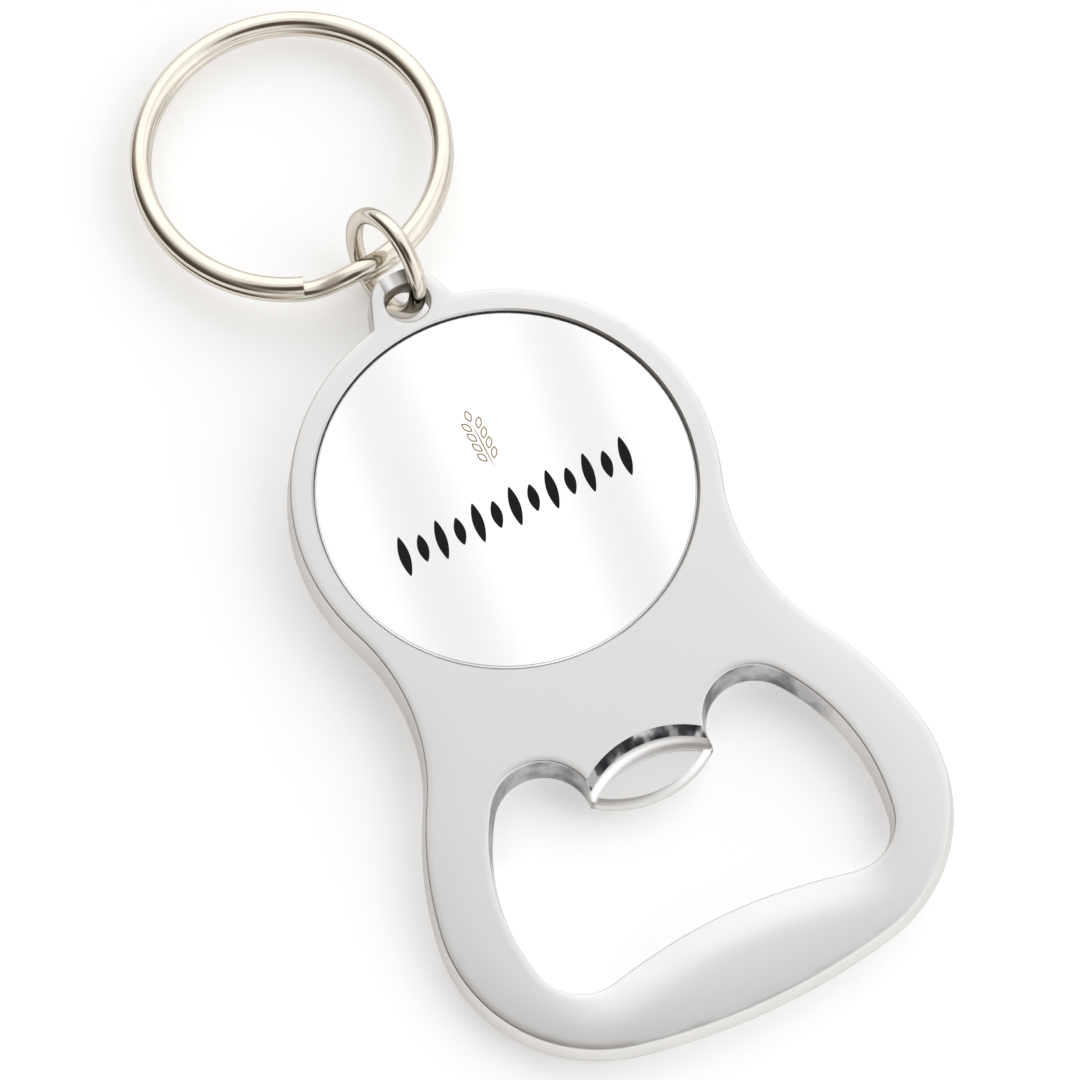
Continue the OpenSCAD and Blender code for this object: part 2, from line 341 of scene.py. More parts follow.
def round_over(radius):
    """Insets that follow a quarter circle, from an upright wall to a flat face."""
    angles = [math.radians(90 * i / ROUND_STEPS) for i in range(ROUND_STEPS + 1)]
    for a, b in zip(angles, angles[1:]):
        inset(radius * (math.cos(a) - math.cos(b)), radius * (math.sin(b) - math.sin(a)))


choose_faces(body, lambda c, n: n.z > FLAT_ON)
inset(WALL_DRAFT, BODY_T - EDGE_ROUND - STRIP_RISE - LAND_HIGH)
round_over(EDGE_ROUND)
inset(STRIP_W, STRIP_RISE)
choose_faces(body, lambda c, n: n.z < -FLAT_ON)
round_over(BACK_ROUND)
print("wall leans in by", WALL_DRAFT, "mm and its edge is rounded by", EDGE_ROUND, "mm")

# %% [markdown]
# Vertices beside the centre line are put exactly on it, and a mirror makes the other half.

# %% The whole body
SNAP_GAP, MIRROR_GAP = 0.02, 0.005
mesh = bmesh.from_edit_mesh(body.data)
for vertex in mesh.verts:
    if abs(vertex.co.x) < SNAP_GAP * MM:
        vertex.co.x = 0.0
bmesh.update_edit_mesh(body.data)
bpy.ops.object.mode_set(mode="OBJECT")
apply_modifier(body, "MIRROR", "other_half", use_clip=True, merge_threshold=MIRROR_GAP * MM)
print("mirrored body has", len(body.data.polygons), "faces")

# %% [markdown]
# ## Seat, hole, lip and saddles
# Round features are turned on a lathe and cut away, as their tools would cut the pattern. Each cutter
# carries its own edge. The badge's seat has a fine chamfer at its mouth.

# %% The badge's seat
CUTTER_TOP, CUTTER_BOTTOM = 6.0, -2.0
SEAT_CHAMFER = 0.14
SEAT_STEPS, HOLE_STEPS, LIP_STEPS, RIM_STEPS = 180, 64, 90, 48
seat_profile = [(0, SEAT_FLOOR), (SEAT_R, SEAT_FLOOR), (SEAT_R, BODY_T - SEAT_CHAMFER),
                (SEAT_R + SEAT_CHAMFER, BODY_T), (SEAT_R + SEAT_CHAMFER, CUTTER_TOP), (0, CUTTER_TOP)]
cut(body, lathe("seat_cutter", seat_profile, middle, steps=SEAT_STEPS))
print("seat is", 2 * SEAT_R, "mm across and", round(BODY_T - SEAT_FLOOR, 2), "mm deep")

# %% [markdown]
# The lug's hole flares at both ends, so the link's wire never rubs on a sharp edge. One flare is worked
# out as a quarter circle and used upside down for the other end.

# %% The lug's hole
HOLE_FLARE, FLARE_STEPS = 0.14, 6
flare = [math.radians(90 * i / FLARE_STEPS) for i in range(FLARE_STEPS + 1)]
hole_back = [(LUG_HOLE_R + HOLE_FLARE * (1 - math.sin(a)), HOLE_FLARE * (1 - math.cos(a)))
             for a in flare]
hole_profile = ([(0, CUTTER_BOTTOM), (LUG_HOLE_R + HOLE_FLARE, CUTTER_BOTTOM)] + hole_back
                + [(r, BODY_T - z) for r, z in reversed(hole_back)]
                + [(LUG_HOLE_R + HOLE_FLARE, CUTTER_TOP), (0, CUTTER_TOP)])
cut(body, lathe("hole_cutter", hole_profile, lug_c, steps=HOLE_STEPS))
print("lug's hole is", 2 * LUG_HOLE_R, "mm across")

# %% [markdown]
# The lip stands low under a step. The step's wall leans back, so light from above can run down it.

# %% The step behind the lip
STEP_LEAN, WALL_FOOT = 0.62, 2.15
step_profile = [(0, WALL_FOOT), (STEP_R - STEP_LEAN, WALL_FOOT), (STEP_R, BODY_T), (STEP_R, CUTTER_TOP),
                (0, CUTTER_TOP)]
cut(body, lathe("step_cutter", step_profile, step_c, degrees=180, steps=LIP_STEPS))
print("step stands", round(BODY_T - WALL_FOOT, 2), "mm above the cove")

# %% [markdown]
# Below the step a light cove runs down to the flat pad that bears on the cap, and a scribed line goes round
# the pad. Cove, line and pad are one profile, so they come out of one cut.

# %% The pad and its cove
SCRIBE = 0.05
PAD_R, PAD_BACK = 7.6, 1.52
COVE_W, COVE_LAP, COVE_STEPS = 0.9, 0.1, 5
pad_c = Vector((0, step_c.y + STEP_R - PAD_BACK - PAD_R))
cove_rise = WALL_FOOT + COVE_LAP - LIP_T
cove = [math.radians(90 * i / COVE_STEPS) for i in range(1, COVE_STEPS + 1)]
cove_profile = [(PAD_R + COVE_W * math.sin(a), LIP_T + cove_rise * (1 - math.cos(a))) for a in cove]
pad_profile = ([(0, LIP_T), (PAD_R - 2 * SCRIBE, LIP_T), (PAD_R - SCRIBE, LIP_T - SCRIBE), (PAD_R, LIP_T)]
               + cove_profile + [(0, LIP_T + cove_rise)])
cut(body, lathe("pad_cutter", pad_profile, pad_c, degrees=180, steps=LIP_STEPS))
print("pad is", LIP_T, "mm above the back")

# %% [markdown]
# The lip's front edge falls away from the pad, first gently and then steeply, over the middle of its arc.

# %% The lip's rim
RIM_BAND, RIM_FALL, RIM_HALF_ANGLE = 0.24, 0.62, 39.0
RIM_KNEE_W, RIM_KNEE_FALL = 0.18, 0.1
RIM_OVER, RIM_ABOVE = 0.3, 0.02
rim_r = LIP_R - RIM_BAND
rim_out = LIP_R + MOUTH_LEAN + RIM_OVER
rim_profile = [(rim_r - SCRIBE, LIP_T + RIM_ABOVE), (rim_r, LIP_T - SCRIBE),
               (rim_r + RIM_KNEE_W, LIP_T - RIM_KNEE_FALL),
               (rim_out, LIP_T - RIM_FALL), (rim_out, LIP_T + RIM_ABOVE)]
cut(body, lathe("rim_cutter", rim_profile, lip_c, degrees=2 * RIM_HALF_ANGLE,
                start=-90 - RIM_HALF_ANGLE, steps=RIM_STEPS))
print("rim runs", 2 * RIM_HALF_ANGLE, "degrees round the lip")

# %% [markdown]
# The link's wire lies across the lug in two saddles, one at the front and one at the back. Each is cut by a
# rod whose radius follows from the saddle's width and depth.

# %% Saddles of the lug
SADDLE_H, SADDLE_W, SADDLE_BACK_W = 0.8, 2.6, 3.74
SADDLE_LENGTH, SADDLE_START, ROD_POINTS = 6.0, 1, 64


def saddle_cutter(name, width, z, depth):
    """A rod along the lug, as wide as the saddle where it meets the face and as deep as the saddle."""
    radius = (width * width / 4 + depth * depth) / (2 * depth)
    sign = 1 if z > 0 else -1
    deselect()
    bpy.ops.mesh.primitive_cylinder_add(vertices=ROD_POINTS, radius=radius * MM, depth=SADDLE_LENGTH * MM,
                                        rotation=(math.pi / 2, 0, 0),
                                        location=(0, (LUG_Y + SADDLE_START + SADDLE_LENGTH / 2) * MM,
                                                  (z + sign * (radius - depth)) * MM))
    bpy.context.object.name = name
    return bpy.context.object


cut(body, saddle_cutter("front_saddle", SADDLE_W, BODY_T, SADDLE_H))
cut(body, saddle_cutter("back_saddle", SADDLE_BACK_W, 0, SADDLE_H))
print("body after cutting has", len(body.data.polygons), "faces")

# %% [markdown]
# ## Crown and pillow
# The front isn't flat: it falls towards the bottom edge, rolls down near the edge of the limbs, and rolls
# right over into the mouth along the bar. A flat face can't bend, so straight cuts through it give it
# vertices first.

# %% Cut the front into a fine grid
GRID, GRID_GAP = 0.6, 0.001


def on_front(c, n):
    return c.z > BODY_T - STRIP_RISE / 3 and n.z > SQUARE_ON


deselect()
bpy.context.view_layer.objects.active = body
bpy.ops.object.mode_set(mode="EDIT")
for axis, low, high in ((0, -HALF_W, HALF_W), (1, -REACH, LUG_Y + LUG_R)):
    for i in range(1, int((high - low) / GRID)):
        spot = [0.0, 0.0, 0.0]
        facing = [0.0, 0.0, 0.0]
        spot[axis] = (low + i * GRID) * MM
        facing[axis] = 1.0
        choose_faces(body, on_front)
        bpy.ops.mesh.bisect(plane_co=spot, plane_no=facing, threshold=GRID_GAP * MM)
bpy.ops.object.mode_set(mode="OBJECT")
print("front cut into", len(body.data.polygons), "faces")

# %% [markdown]
# How far the front drops at a point depends on how far that point is from the edges. The outline kept from
# the drawing is split into an outer chain and a mouth chain, and every vertex is measured from both. The
# body is symmetric, so the left half is measured as if it were on the right.

# %% Measure from the edges
NEAR_CENTRE = 1e-3
NO_LENGTH, FAR_AWAY = 1e-12, 1e9


def distance_to(points, chain):
    """Distance from each point to a chain of straight stretches."""
    a, b = chain[:-1], chain[1:]
    along = b - a
    length = np.maximum((along ** 2).sum(1), NO_LENGTH)
    best = np.full(len(points), FAR_AWAY)
    for start, way, squared in zip(a, along, length):
        t = np.clip(((points - start) @ way) / squared, 0, 1)
        best = np.minimum(best, np.hypot(*(points - start - t[:, None] * way).T))
    return best


outline_points = np.roll(outline_points, -np.argmin(outline_points[:, 1]), axis=0)
if outline_points[1][0] < NEAR_CENTRE:
    outline_points = np.roll(outline_points[::-1], 1, axis=0)
turn = np.argmax(outline_points[:, 1])
outer_chain, mouth_chain = outline_points[:turn + 1], outline_points[turn + 1:]
coords = np.empty(len(body.data.vertices) * 3)
body.data.vertices.foreach_get("co", coords)
coords = coords.reshape(-1, 3) / MM
right = np.c_[np.abs(coords[:, 0]), coords[:, 1]]
from_edge = distance_to(right, outer_chain)
from_mouth = distance_to(right, mouth_chain)
print("measured", len(coords), "vertices from the edges")

# %% [markdown]
# One smooth rule lowers the vertices: a large crown, a small roll at the outer edge that grows towards the
# limbs, and a deep roll where the bar meets the mouth. It fades out down the walls, so the back stays flat.

# %% Lower the front
CROWN_R = REACH * REACH / (2 * CROWN_DROP)
EDGE_PILLOW, EDGE_PILLOW_W = 0.16, 3.6
RIM_PILLOW = 0.03
BAR_PILLOW, BAR_PILLOW_W = 0.9, 3.7
HEAD_Y, LIMB_Y = -9.0, -24.0
BAR_FROM_Y, BAR_TO_Y = -28.0, -38.5
BAR_HALF_W, BAR_FADE_W = 5.0, 16.0
HINGE_LOW, HINGE_HIGH = 1.9, 2.6


def ramp(value, low, high):
    t = np.clip((value - low) / (high - low), 0, 1)
    return t * t * (3 - 2 * t)


crown = (coords[:, 0] ** 2 + coords[:, 1] ** 2) / (2 * CROWN_R)
lower = ramp(-coords[:, 1], -HEAD_Y, -LIMB_Y)
edge_share = np.clip(1 - from_edge / EDGE_PILLOW_W, 0, 1) ** 2
bar_share = np.clip(1 - from_mouth / BAR_PILLOW_W, 0, 1) ** 2
on_bar = ramp(-coords[:, 1], -BAR_FROM_Y, -BAR_TO_Y) * (1 - ramp(right[:, 0], BAR_HALF_W, BAR_FADE_W))
edge_drop = edge_share * (RIM_PILLOW + (EDGE_PILLOW - RIM_PILLOW) * lower)
drop = crown + edge_drop + bar_share * on_bar * BAR_PILLOW
coords[:, 2] -= drop * ramp(coords[:, 2], HINGE_LOW, HINGE_HIGH)
body.data.vertices.foreach_set("co", (coords * MM).ravel())
body.data.update()
print("front drops by up to", round(float(drop.max()), 2), "mm")

# %% [markdown]
# Smooth shading keeps the sharp edges sharp, and weighted normals let the large flat faces win over the
# small ones beside them. The body then rides on the opener and takes the place of its CAD shape.

# %% Shade and place the body
BODY_SMOOTH, WIRE_SMOOTH = 32, 40
FLAT_WEIGHT = 80
deselect()
body.select_set(True)
bpy.context.view_layer.objects.active = body
bpy.ops.object.shade_smooth_by_angle(angle=math.radians(BODY_SMOOTH))
apply_modifier(body, "WEIGHTED_NORMAL", "even_shading", keep_sharp=True, weight=FLAT_WEIGHT)
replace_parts(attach(body, "opener"), "opener_body")
print("finished body has", len(body.data.polygons), "faces")

# %% [markdown]
# ## The rings' wire
# A ring is a wire section carried round a path. The section starts as a circle, and each vertex is pushed
# out to the wire's own width, height and roundness. A higher power gives squarer shoulders.

# %% Wire section
WIRE_WELD_GAP = 0.0005


def wire_section(name, at_r, half_w, up, down, power_up=2.0, power_down=2.0, middle_z=0.0, points=36):
    """A closed wire in the XZ plane. Above and below its middle it has its own height and roundness."""
    deselect()
    bpy.ops.mesh.primitive_circle_add(vertices=points, radius=MM, fill_type="NOTHING",
                                      rotation=(math.pi / 2, 0, 0))
    piece = bpy.context.object
    piece.name = name
    bpy.ops.object.transform_apply(location=False, rotation=True, scale=False)
    bpy.ops.object.mode_set(mode="EDIT")
    bpy.ops.mesh.select_mode(type="VERT")
    mesh = bmesh.from_edit_mesh(piece.data)
    for vertex in mesh.verts:
        x, z = vertex.co.x / MM, vertex.co.z / MM
        height, power = (up, power_up) if z > 0 else (down, power_down)
        vertex.co.x = (at_r + math.copysign(abs(x) ** (2 / power), x) * half_w) * MM
        vertex.co.z = (middle_z + math.copysign(abs(z) ** (2 / power), z) * height) * MM
    bmesh.update_edit_mesh(piece.data)
    bpy.ops.mesh.select_all(action="SELECT")
    return piece


def finish_wire(piece, matrix, body_name, node):
    """Closes the cut ends, puts the wire in its place and hands it to its body."""
    bpy.ops.mesh.select_all(action="SELECT")
    bpy.ops.mesh.remove_doubles(threshold=WIRE_WELD_GAP * MM)
    bpy.ops.mesh.fill_holes(sides=0)
    bpy.ops.mesh.normals_make_consistent(inside=False)
    bpy.ops.object.mode_set(mode="OBJECT")
    piece.matrix_world = matrix
    bpy.ops.object.transform_apply(location=True, rotation=True, scale=True)
    bpy.ops.object.shade_smooth_by_angle(angle=math.radians(WIRE_SMOOTH))
    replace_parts(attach(piece, body_name), node)
    print(piece.name, "has", len(piece.data.polygons), "faces")


# %% [markdown]
# ## The link
# The link is one turn of round wire that stops just short of closing, which leaves the fine gap of its butt
# joint. The wire is slimmed a touch, because its section is a little squarer than a circle.

# %% The link
LINK_WIRE_R, LINK_R, SLIM, LINK_POWER, LINK_STEP = 0.65, 4.0, 0.985, 2.25, 2.5
LINK_LEAN, LINK_TURN, LINK_CUT_ANGLE, LINK_CUT = 74.5, 8.8, 200.0, 0.15
link_low, link_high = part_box("link")
link_centre = (link_low + link_high) / 2
link_cut_turn = math.degrees(LINK_CUT / LINK_R)
link_half = LINK_WIRE_R * SLIM
link = wire_section("wire_link", LINK_R, link_half, link_half, link_half, LINK_POWER, LINK_POWER)
swing(middle, 360 - link_cut_turn, step=LINK_STEP)
link_place = (Matrix.Translation(link_centre) @ Matrix.Rotation(math.radians(-LINK_LEAN), 4, "Y")
              @ Matrix.Rotation(math.radians(LINK_TURN), 4, "X")
              @ Matrix.Rotation(math.radians(LINK_CUT_ANGLE), 4, "Z"))
finish_wire(link, link_place, "link", "link")

# %% [markdown]
# ## The split ring
# Its wire is a dome on a flat foot, wound into two turns. Spin carries the section round each long turn.
# Between them the path climbs, so each short stretch is spun one step and then raised.

# %% The split ring
RING_R, RING_HALF_W, RING_HALF_T, TURN_GAP = 11.7, 0.8, 0.425, 0.06
CROSS_ANGLE, CUT_ANGLE, RING_TILT = 22.0, -110.7, 6.0
CROSS_STEPS = 16
DOME_FOOT, FOOT_POWER = -0.175, 4.0
lift = RING_HALF_T + TURN_GAP / 2
long_turn = 360 - CROSS_ANGLE
ring = wire_section("two_turn_ring", RING_R, RING_HALF_W, RING_HALF_T - DOME_FOOT,
                    RING_HALF_T + DOME_FOOT, power_down=FOOT_POWER, middle_z=DOME_FOOT)
bpy.ops.transform.translate(value=(0, 0, -lift * MM))
swing(middle, long_turn)
cross_height = [-lift * math.cos(math.pi * i / CROSS_STEPS) for i in range(CROSS_STEPS + 1)]
swing_step = CROSS_ANGLE / CROSS_STEPS
for before, after in zip(cross_height, cross_height[1:]):
    bpy.ops.mesh.spin(steps=1, angle=-math.radians(swing_step), center=(0, 0, 0), axis=(0, 0, 1))
    bpy.ops.transform.translate(value=(0, 0, (after - before) * MM))
swing(middle, long_turn)
ring_near = joint_at["ring_swing"]
ring_place = (Matrix.Translation(ring_near) @ Matrix.Rotation(math.radians(-RING_TILT), 4, "X")
              @ Matrix.Translation(Vector((0, RING_R * MM, 0)))
              @ Matrix.Rotation(math.radians(CUT_ANGLE + CROSS_ANGLE), 4, "Z"))
finish_wire(ring, ring_place, "split_ring", "split_ring")

# %% [markdown]
# ## The printed motif
# The badge carries a small print: a gold barley ear over a row of dark grains. A print has a real, tiny
# thickness, so each grain is a flat outline raised by a hair from the polished face.

# %% A printed grain
PRINT_T = 0.012
GRAIN_POINTS, GRAIN_TAPER = 32, 0.45
badge_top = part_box("badge_disc")[1].z / MM


def grain(name, x, y, half_w, half_h, lean, hollow=0.0):
    """A pointed grain: a flat circle drawn to a point at both ends, hollow if it is only a line."""
    deselect()
    bpy.ops.mesh.primitive_circle_add(vertices=GRAIN_POINTS, radius=MM, fill_type="NGON")
    piece = bpy.context.object
    piece.name = name
    bpy.ops.object.mode_set(mode="EDIT")
    mesh = bmesh.from_edit_mesh(piece.data)
    for vertex in mesh.verts:
        u, v = vertex.co.x / MM, vertex.co.y / MM
        vertex.co.x = u * (1 - GRAIN_TAPER * v * v) * half_w * MM
        vertex.co.y = v * half_h * MM
    bmesh.update_edit_mesh(piece.data)
    bpy.ops.mesh.select_all(action="SELECT")
    if hollow:
        bpy.ops.mesh.inset(thickness=hollow * MM, depth=0, use_boundary=True)
        bpy.ops.mesh.delete(type="FACE")
        bpy.ops.mesh.select_all(action="SELECT")
    bpy.ops.mesh.extrude_region_move(TRANSFORM_OT_translate={"value": (0, 0, PRINT_T * MM)})
    bpy.ops.mesh.select_all(action="SELECT")
    bpy.ops.mesh.normals_make_consistent(inside=False)
    bpy.ops.object.mode_set(mode="OBJECT")
    piece.matrix_world = (Matrix.Translation(Vector((x, y, badge_top)) * MM)
                          @ Matrix.Rotation(math.radians(lean), 4, "Z"))
    bpy.ops.object.transform_apply(location=True, rotation=True, scale=True)
    return piece


def join(name, parts):
    deselect()
    for part in parts:
        part.select_set(True)
    bpy.context.view_layer.objects.active = parts[0]
    bpy.ops.object.join()
    parts[0].name = name
    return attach(parts[0], "opener")


print("badge's face is", round(badge_top, 2), "mm above the back")

# %% [markdown]
# The row alternates tall and short grains, all leaning the same way, and is joined into one piece.

# %% The row of grains
GRAIN_COUNT, GRAIN_PITCH, GRAIN_ROW_Y = 13, 1.55, -1.6
GRAIN_HALF_W, GRAIN_TALL, GRAIN_SHORT, GRAIN_LEAN = 0.42, 1.65, 1.15, -8
row = []
for i in range(GRAIN_COUNT):
    place = i - (GRAIN_COUNT - 1) / 2
    half_h = GRAIN_TALL if i % 2 == 0 else GRAIN_SHORT
    row.append(grain("grain", place * GRAIN_PITCH, GRAIN_ROW_Y, GRAIN_HALF_W, half_h, GRAIN_LEAN))
dark_print = join("print_grain_row", row)
print("row of grains has", len(dark_print.data.polygons), "faces")

# %% [markdown]
# The ear is drawn in line only: a grain at its tip, pairs of grains leaning out from a thin stem below it.

# %% The barley ear
EAR_Y, EAR_LINE, EAR_PITCH, EAR_PAIRS = 2.6, 0.09, 0.9, 4
EAR_ASIDE, EAR_LEAN, EAR_HALF_W, EAR_HALF_H = 0.5, 27, 0.26, 0.5
TIP_ABOVE, STEM_OVER, STEM_DROP = 0.35, 0.2, 0.75
top_y = EAR_Y + EAR_PITCH * EAR_PAIRS
ear = [grain("ear", 0, top_y + TIP_ABOVE, EAR_HALF_W, EAR_HALF_H, 0, EAR_LINE)]
for level in range(EAR_PAIRS):
    pair_y = EAR_Y + EAR_PITCH * (level + 0.5)
    for side in (-1, 1):
        ear.append(grain("ear", side * EAR_ASIDE, pair_y, EAR_HALF_W, EAR_HALF_H, -side * EAR_LEAN,
                         EAR_LINE))
stem_half = (top_y - EAR_Y) / 2 + STEM_OVER
ear.append(grain("stem", 0, EAR_Y + stem_half - STEM_DROP, EAR_LINE / 2, stem_half, 0))
gold_print = join("print_barley_ear", ear)
print("barley ear has", len(gold_print.data.polygons), "faces")

# %% [markdown]
# ## Finishes
# Every finish is a tree of nodes. These helpers each add one node, set it and wire it up, and most of them
# hand back its output, so that a finish can be written as a few short sums.

# %% Node helpers
def link_nodes(tree, out, into):
    tree.links.new(out, into)


def spread(tree, factor, low, high):
    """A number that runs from low to high with a factor."""
    node = tree.nodes.new("ShaderNodeMapRange")
    node.inputs["To Min"].default_value = low
    node.inputs["To Max"].default_value = high
    link_nodes(tree, factor, node.inputs["Value"])
    return node.outputs["Result"]


def band_mask(tree, value, low, high):
    """0 at low and 1 at high, with a smooth step between. Low may be the larger of the two."""
    node = tree.nodes.new("ShaderNodeMapRange")
    node.interpolation_type = "SMOOTHSTEP"
    node.inputs["From Min"].default_value = low
    node.inputs["From Max"].default_value = high
    link_nodes(tree, value, node.inputs["Value"])
    return node.outputs["Result"]


def combine(tree, operation, *values):
    """One maths step on sockets."""
    node = tree.nodes.new("ShaderNodeMath")
    node.operation = operation
    for value, into in zip(values, node.inputs):
        link_nodes(tree, value, into)
    return node.outputs["Value"]


def product(tree, *masks):
    result = masks[0]
    for mask in masks[1:]:
        result = combine(tree, "MULTIPLY", result, mask)
    return result


def separate(tree, vector):
    node = tree.nodes.new("ShaderNodeSeparateXYZ")
    link_nodes(tree, vector, node.inputs["Vector"])
    return node


def noise(tree, vector, scale, detail):
    node = tree.nodes.new("ShaderNodeTexNoise")
    node.inputs["Scale"].default_value = scale
    node.inputs["Detail"].default_value = detail
    link_nodes(tree, vector, node.inputs["Vector"])
    return node.outputs["Fac"]


# %% [markdown]
# Colours come from ramps. A ramp sorts its own stops, so its two ends are moved before the others are
# added, and the colours are set last.

# %% Colour helpers
def shades(tree, factor, stops, interpolation="LINEAR"):
    """A colour ramp along a factor, from (place, colour) stops."""
    node = tree.nodes.new("ShaderNodeValToRGB")
    line = node.color_ramp
    line.interpolation = interpolation
    line.elements[1].position = stops[-1][0]
    line.elements[0].position = stops[0][0]
    for place, colour in stops[1:-1]:
        line.elements.new(place)
    for element, (place, colour) in zip(line.elements, stops):
        element.color = (*colour, 1)
    link_nodes(tree, factor, node.inputs["Fac"])
    return node.outputs["Color"]


def grey(value):
    return (value, value, value)


def colour_mix(tree, factor, a, b):
    node = tree.nodes.new("ShaderNodeMix")
    node.data_type = "RGBA"
    link_nodes(tree, factor, node.inputs["Factor"])
    link_nodes(tree, a, node.inputs["A"])
    link_nodes(tree, b, node.inputs["B"])
    return node.outputs["Result"]


def bump(tree, height, distance, strength, shader):
    node = tree.nodes.new("ShaderNodeBump")
    node.inputs["Distance"].default_value = distance
    node.inputs["Strength"].default_value = strength
    link_nodes(tree, height, node.inputs["Height"])
    link_nodes(tree, node.outputs["Normal"], shader.inputs["Normal"])


def wear(finish, pieces):
    for piece in pieces:
        piece.data.materials.clear()
        piece.data.materials.append(finish)
    print(finish.name, "is worn by", [piece.name for piece in pieces])


# %% [markdown]
# Grain is shared by every finish, so it is one node group. It reads the surface's own coordinates and puts
# out two heights: fine grain, which can be stretched along a brushed direction, and soft cloudy marks of
# handling. Each material mixes them at its own strength and keeps its own shader.

# %% The shared grain group
GRAIN_INPUTS = (("Fine Scale", 9000.0), ("Cloud Scale", 160.0), ("Stretch", 1.0))
FINE_DETAIL, CLOUD_DETAIL = 3.0, 5.0
group = bpy.data.node_groups.new("metal_grain", "ShaderNodeTree")
face = group.interface
face.new_socket("Vector", in_out="INPUT", socket_type="NodeSocketVector")
for name, value in GRAIN_INPUTS:
    face.new_socket(name, in_out="INPUT", socket_type="NodeSocketFloat").default_value = value
face.new_socket("Grain", in_out="OUTPUT", socket_type="NodeSocketFloat")
face.new_socket("Cloud", in_out="OUTPUT", socket_type="NodeSocketFloat")
enter = group.nodes.new("NodeGroupInput")
leave = group.nodes.new("NodeGroupOutput")
stretch = group.nodes.new("ShaderNodeCombineXYZ")
stretch.inputs["Y"].default_value = 1.0
stretch.inputs["Z"].default_value = 1.0
scaled = group.nodes.new("ShaderNodeVectorMath")
scaled.operation = "MULTIPLY"
fine = group.nodes.new("ShaderNodeTexNoise")
fine.inputs["Detail"].default_value = FINE_DETAIL
cloud = group.nodes.new("ShaderNodeTexNoise")
cloud.inputs["Detail"].default_value = CLOUD_DETAIL
link_nodes(group, enter.outputs["Stretch"], stretch.inputs["X"])
link_nodes(group, enter.outputs["Vector"], scaled.inputs[0])
link_nodes(group, stretch.outputs["Vector"], scaled.inputs[1])
link_nodes(group, scaled.outputs["Vector"], fine.inputs["Vector"])
link_nodes(group, enter.outputs["Vector"], cloud.inputs["Vector"])
link_nodes(group, enter.outputs["Fine Scale"], fine.inputs["Scale"])
link_nodes(group, enter.outputs["Cloud Scale"], cloud.inputs["Scale"])
link_nodes(group, fine.outputs["Fac"], leave.inputs["Grain"])
link_nodes(group, cloud.outputs["Fac"], leave.inputs["Cloud"])
print("grain group has", len(group.nodes), "nodes")

# %% [markdown]
# A new finish starts as a Principled shader with the grain group beside it, already reading the object's
# coordinates.

# %% A new finish
def new_finish(name, metallic=1.0):
    """A material with the grain group ready beside its shader."""
    finish = bpy.data.materials.new(name)
    finish.use_nodes = True
    tree = finish.node_tree
    shader = tree.nodes["Principled BSDF"]
    shader.inputs["Metallic"].default_value = metallic
    place = tree.nodes.new("ShaderNodeTexCoord")
    grain_node = tree.nodes.new("ShaderNodeGroup")
    grain_node.node_tree = bpy.data.node_groups["metal_grain"]
    link_nodes(tree, place.outputs["Object"], grain_node.inputs["Vector"])
    return finish, tree, shader, place, grain_node


# %% [markdown]
# ## The satin body
# The body is satin on its front and smoother on the walls round the cap lip and in the lug's hole. Its
# colour carries painted light. Upright walls and the lip's slope are painted lighter as a painted
# reflection, and the walls round the cap lip are painted dark as a painted reflection. The wall of the
# lug's hole is painted dark as painted shade. Masks tell the walls apart. They read which way the surface
# faces and where it is, in the body's own coordinates, so they stay put when the opener is turned.

# %% Masks on the body
UPRIGHT_FROM, UPRIGHT_TO = 0.62, 0.3
STEP_FACE_FROM, STEP_FACE_TO = 0.85, 0.6
LEANING_FROM, LEANING_TO = 0.985, 0.93
MOUTHWARD_FROM, MOUTHWARD_TO = 0.1, -0.35
WEB_EDGE, WEB_END = -19.5 * MM, -20.6 * MM
LIMB_EDGE, LIMB_END = -27.5 * MM, -24.5 * MM
LIP_EDGE_IN, LIP_EDGE_OUT = 4.80 * MM, 4.95 * MM
COVE_TOP, STEP_FOOT = 2.05 * MM, 2.2 * MM
HOLE_NEAR, HOLE_FAR = 1.85 * MM, 2.0 * MM

satin, tree, shader, place, grain_node = new_finish("satin_chrome_plate")
grain_node.inputs["Cloud Scale"].default_value = 220.0
split_normal = separate(tree, place.outputs["Normal"])
split_place = separate(tree, place.outputs["Object"])
aside = combine(tree, "ABSOLUTE", split_place.outputs["X"])
upright = band_mask(tree, split_normal.outputs["Z"], UPRIGHT_FROM, UPRIGHT_TO)
step_face = band_mask(tree, split_normal.outputs["Z"], STEP_FACE_FROM, STEP_FACE_TO)
leaning = band_mask(tree, split_normal.outputs["Z"], LEANING_FROM, LEANING_TO)
facing_mouth = band_mask(tree, split_normal.outputs["Y"], MOUTHWARD_FROM, MOUTHWARD_TO)
below_web = band_mask(tree, split_place.outputs["Y"], WEB_EDGE, WEB_END)
above_limbs = band_mask(tree, split_place.outputs["Y"], LIMB_EDGE, LIMB_END)
on_lobes = band_mask(tree, aside, LIP_EDGE_IN, LIP_EDGE_OUT)
on_lip = band_mask(tree, aside, LIP_EDGE_OUT, LIP_EDGE_IN)
above_cove = band_mask(tree, split_place.outputs["Z"], COVE_TOP, STEP_FOOT)
below_step = band_mask(tree, split_place.outputs["Z"], STEP_FOOT, COVE_TOP)
lobe_wall = product(tree, upright, facing_mouth, below_web, above_limbs, on_lobes)
step_wall = product(tree, step_face, facing_mouth, below_web, above_limbs, on_lip, above_cove)
lip_slope = product(tree, leaning, on_lip, below_step, below_web, above_limbs)
print("body's finish has", len(tree.nodes), "nodes with its masks")

# %% [markdown]
# The wall of the lug's hole is whatever is upright and near the hole's axis, so its mask measures the
# distance from that axis with the height left out.

